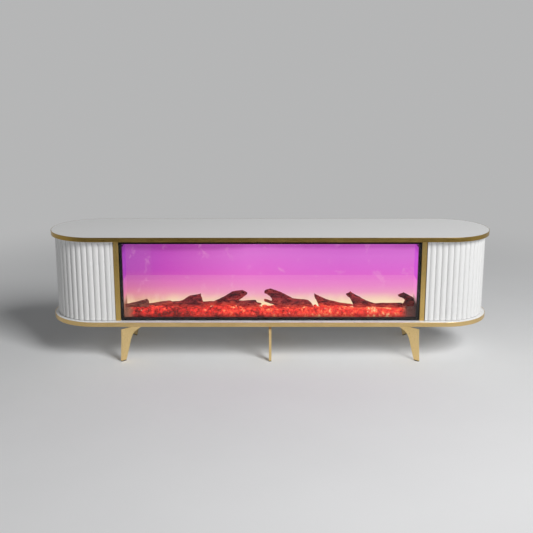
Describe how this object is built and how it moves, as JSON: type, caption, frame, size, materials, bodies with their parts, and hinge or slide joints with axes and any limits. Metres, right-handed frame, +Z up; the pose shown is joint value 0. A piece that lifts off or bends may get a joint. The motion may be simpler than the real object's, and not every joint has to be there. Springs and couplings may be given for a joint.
{
  "type": "electric fireplace",
  "caption": "Low stadium-shaped cabinet on gold legs with a wide glass-fronted electric fireplace between two gold posts and fluted doors round both ends.",
  "frame": {"origin": "on the floor, below the middle of the cabinet", "axes": "+X to the right along the length as seen from the front, -Y out of the front, +Z up"},
  "size_m": [1.8, 0.39, 0.52],
  "materials": {
    "white_lacquer": "satin white lacquer on board",
    "gold_edge": "satin gold anodised metal",
    "gold_leg": "satin gold plated sheet steel",
    "black_plastic": "matt moulded plastic",
    "rocker_plastic": "glossy moulded plastic",
    "bare_steel": "plain zinc-plated steel",
    "clear_glass": "clear tempered glass, glossy",
    "black_frame": "satin black paint",
    "case_steel": "matt black paint inside and out",
    "flame_acrylic": "frosted translucent acrylic, lit from behind",
    "embers": "moulded translucent resin coals, lit from below",
    "log_resin": "moulded and painted bark",
    "circuit_board": "green solder mask"
  },
  "bodies": {
    "cabinet": {"top_board": "white_lacquer", "base_board": "white_lacquer", "right_partition": "white_lacquer", "left_partition": "white_lacquer", "back_panel": "white_lacquer", "right_rear_fluted_wall": "white_lacquer", "left_rear_fluted_wall": "white_lacquer", "right_shelf": "white_lacquer", "left_shelf": "white_lacquer", "top_edge_band": "gold_edge", "base_edge_band": "gold_edge", "right_post": "gold_edge", "left_post": "gold_edge", "front_left_leg": "gold_leg", "front_right_leg": "gold_leg", "rear_left_leg": "gold_leg", "rear_right_leg": "gold_leg", "front_centre_leg": "gold_leg", "rear_centre_leg": "gold_leg", "front_left_glide": "black_plastic", "front_right_glide": "black_plastic", "rear_left_glide": "black_plastic", "rear_right_glide": "black_plastic", "front_centre_glide": "black_plastic", "rear_centre_glide": "black_plastic", "right_latch_body": "black_plastic", "left_latch_body": "black_plastic", "spindle_bearing": "black_plastic", "power_inlet": "black_plastic", "right_pivot_rod": "bare_steel", "left_pivot_rod": "bare_steel", "air_duct": "bare_steel", "heater_element": "bare_steel", "front_glass": "clear_glass", "heater_grille": "black_frame", "window_frame": "black_frame", "firebox_case": "case_steel", "spindle_motor": "case_steel", "blower_motor": "case_steel", "flame_screen": "flame_acrylic", "ember_bed": "embers", "log_1": "log_resin", "log_2": "log_resin", "log_3": "log_resin", "log_4": "log_resin", "log_5": "log_resin", "log_6": "log_resin", "log_7": "log_resin", "log_8": "log_resin", "log_9": "log_resin", "lamp_strip": "circuit_board", "control_board": "circuit_board"},
    "right_door": {"right_door": "white_lacquer"},
    "left_door": {"left_door": "white_lacquer"},
    "right_latch_plunger": {"right_latch_plunger": "bare_steel"},
    "left_latch_plunger": {"left_latch_plunger": "bare_steel"},
    "flame_spindle": {"flame_spindle": "bare_steel"},
    "blower_wheel": {"blower_wheel": "black_plastic"},
    "power_rocker": {"power_rocker": "rocker_plastic"}
  },
  "joints": [
    {"name": "right_door_hinge", "type": "hinge", "parent": "cabinet", "child": "right_door", "pos_m": [0.877, 0, 0.337], "axis": [0, 0, 1], "range_deg": [0, 90]},
    {"name": "left_door_hinge", "type": "hinge", "parent": "cabinet", "child": "left_door", "pos_m": [-0.877, 0, 0.337], "axis": [0, 0, -1], "range_deg": [0, 90]},
    {"name": "right_latch_push", "type": "slide", "parent": "cabinet", "child": "right_latch_plunger", "axis": [0, 1, 0], "range_m": [0, 0.005], "stiffness_N_per_m": 300},
    {"name": "left_latch_push", "type": "slide", "parent": "cabinet", "child": "left_latch_plunger", "axis": [0, 1, 0], "range_m": [0, 0.005], "stiffness_N_per_m": 300},
    {"name": "flame_spindle_spin", "type": "hinge", "parent": "cabinet", "child": "flame_spindle", "pos_m": [0, -0.01, 0.215], "axis": [1, 0, 0], "continuous": true},
    {"name": "blower_wheel_spin", "type": "hinge", "parent": "cabinet", "child": "blower_wheel", "pos_m": [0, 0.055, 0.47], "axis": [1, 0, 0], "continuous": true},
    {"name": "power_rocker_tilt", "type": "hinge", "parent": "cabinet", "child": "power_rocker", "pos_m": [0.3, 0.124, 0.29], "axis": [-1, 0, 0], "range_deg": [0, 16]}
  ]
}
